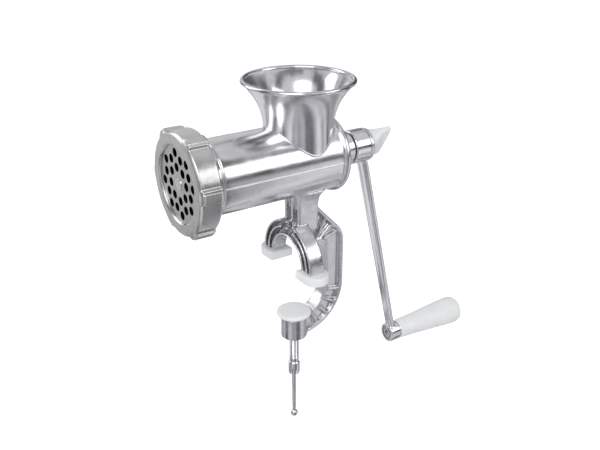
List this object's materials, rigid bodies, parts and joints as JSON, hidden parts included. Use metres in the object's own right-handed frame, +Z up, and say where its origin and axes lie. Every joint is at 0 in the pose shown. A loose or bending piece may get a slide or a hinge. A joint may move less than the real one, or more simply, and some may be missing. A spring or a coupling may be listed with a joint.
{
  "type": "hand crank meat grinder",
  "caption": "Clamp-on hand crank meat grinder with a flared hopper, drilled cutting plate in a lugged ring nut, crank with a turning grip, and a screw clamp.",
  "frame": {"origin": "middle of the two seat pads' undersides, on the clamp screw's axis: the point that the table's top surface is clamped at", "axes": "+Z up, the barrel along Y with the cutting end at -Y and the crank at +Y, +X to the right seen from the cutting end"},
  "size_m": [0.0848, 0.2781, 0.2958],
  "materials": {
    "cast_aluminium": "satin tumbled casting",
    "polished_aluminium": "polished casting",
    "nut_aluminium": "satin casting, slightly warm",
    "plate_steel": "ground face",
    "hard_steel": "ground",
    "zinced_steel": "bright zinc",
    "bronze": "oiled sintered bush",
    "dark_fibre": "oiled fibre",
    "white_plastic": "moulded, slightly translucent"
  },
  "bodies": {
    "frame": {"barrel": "cast_aluminium", "hopper": "polished_aluminium", "stand": "cast_aluminium", "clamp_frame": "cast_aluminium", "pad_left": "white_plastic", "pad_right": "white_plastic", "rear_bush": "bronze", "thrust_washer": "dark_fibre", "plate_key": "zinced_steel"},
    "plate": {"cutting_plate": "plate_steel"},
    "nut": {"ring_nut": "nut_aluminium"},
    "crank": {"worm": "cast_aluminium", "worm_shaft": "zinced_steel", "knife_stud": "zinced_steel", "knife": "hard_steel", "crank_arm": "cast_aluminium", "handle_pin": "zinced_steel", "grip_washer": "zinced_steel"},
    "grip": {"handle_grip": "white_plastic"},
    "wing_washer": {"thumb_washer": "zinced_steel"},
    "wing": {"thumb_screw": "zinced_steel", "thumb_wing": "white_plastic"},
    "disc": {"clamp_pad": "white_plastic", "clamp_cup": "zinced_steel"},
    "screw": {"clamp_screw": "zinced_steel", "tommy_pin": "zinced_steel"},
    "bar": {"tommy_bar": "zinced_steel"}
  },
  "joints": [
    {"name": "crank_spin", "type": "hinge", "parent": "frame", "child": "crank", "pos_m": [0, 0.05, 0.09], "axis": [0, 1, 0], "continuous": true},
    {"name": "grip_spin", "type": "hinge", "parent": "crank", "child": "grip", "pos_m": [0, 0.10454, -0.0947], "axis": [0, 1, 0], "continuous": true},
    {"name": "plate_slide", "type": "slide", "parent": "frame", "child": "plate", "axis": [0, -1, 0], "range_m": [0, 0.016]},
    {"name": "nut_turn", "type": "hinge", "parent": "plate", "child": "nut", "pos_m": [0, -0.09, 0.09], "axis": [0, -1, 0], "range_deg": [0, 1441]},
    {"name": "thumb_slide", "type": "slide", "parent": "crank", "child": "wing_washer", "axis": [0, 1, 0], "range_m": [0, 0.014]},
    {"name": "thumb_turn", "type": "hinge", "parent": "wing_washer", "child": "wing", "pos_m": [0, 0.07, 0.09], "axis": [0, 1, 0], "range_deg": [0, 5041]},
    {"name": "clamp_slide", "type": "slide", "parent": "frame", "child": "disc", "axis": [0, 0, 1], "range_m": [0, 0.024]},
    {"name": "screw_turn", "type": "hinge", "parent": "disc", "child": "screw", "pos_m": [0, 0, -0.06], "axis": [0, 0, 1], "range_deg": [0, 4321]},
    {"name": "tommy_fold", "type": "hinge", "parent": "screw", "child": "bar", "pos_m": [0, 0, -0.097], "axis": [0.5446, 0.8387, 0], "range_deg": [-90, 90]}
  ],
  "couplings": [
    {"joint": "nut_turn", "follows": "plate_slide", "rad_per_m": 1570.8},
    {"joint": "thumb_turn", "follows": "thumb_slide", "rad_per_m": 6283.2},
    {"joint": "screw_turn", "follows": "clamp_slide", "rad_per_m": 3141.6}
  ]
}
